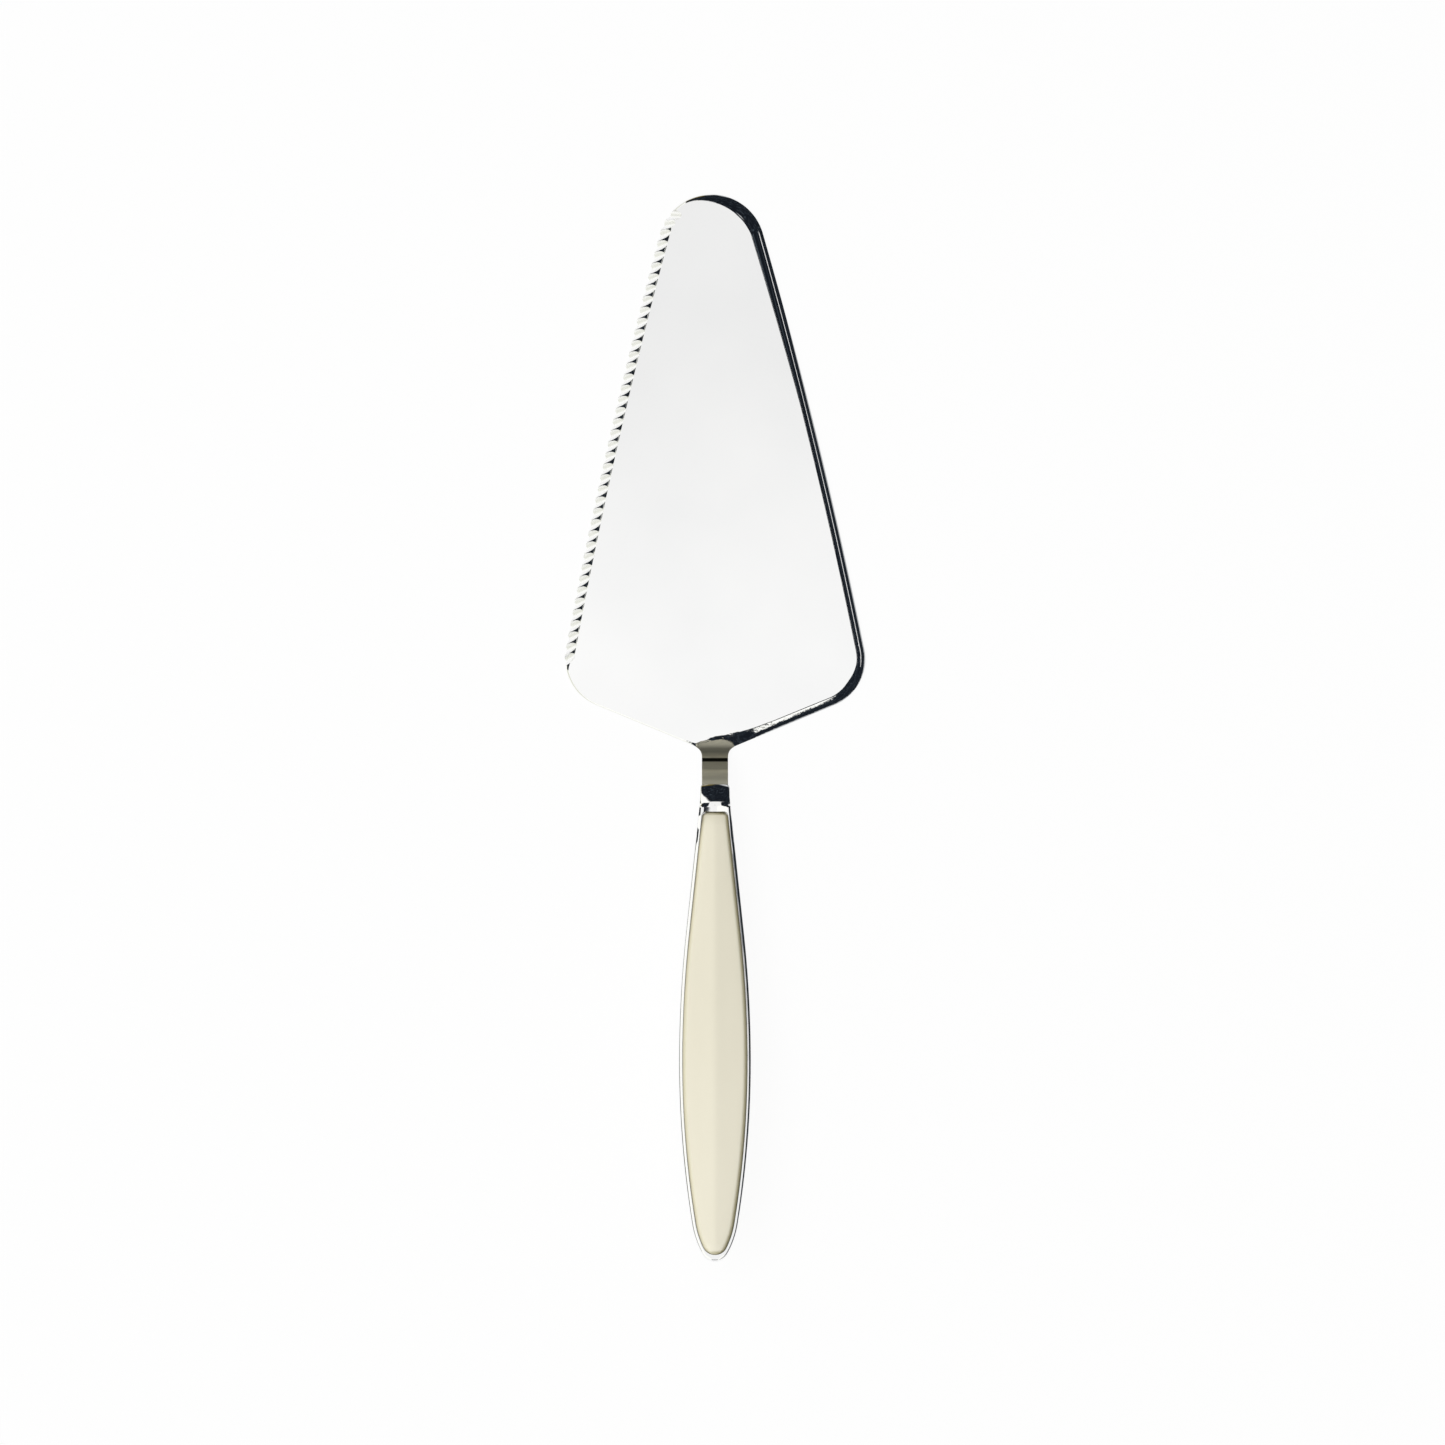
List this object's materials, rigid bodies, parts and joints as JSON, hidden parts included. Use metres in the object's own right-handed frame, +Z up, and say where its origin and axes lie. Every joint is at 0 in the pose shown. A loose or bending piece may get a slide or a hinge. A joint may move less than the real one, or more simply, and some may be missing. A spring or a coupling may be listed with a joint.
{
  "type": "cake server",
  "caption": "Cake server: a polished steel wedge blade with one serrated edge and a cranked neck, and a steel-rimmed handle with cream plastic inlays.",
  "frame": {"origin": "middle of the bounding box at table height, under the flat of the blade", "axes": "+Y along the server towards the blade's tip, +X towards the plain edge (the serrated edge is on -X), +Z up, out of the face that carries the cake"},
  "size_m": [0.0705, 0.25, 0.0267],
  "materials": {
    "blade_steel": "mirror polished",
    "frame_steel": "mirror polished",
    "cream_plastic": "satin gloss, moulded",
    "pin_steel": "plain turned"
  },
  "bodies": {
    "root": {"blade": "blade_steel", "handle_frame": "frame_steel", "front_inlay": "cream_plastic", "back_inlay": "cream_plastic", "locating_pins": "pin_steel"}
  },
  "joints": []
}
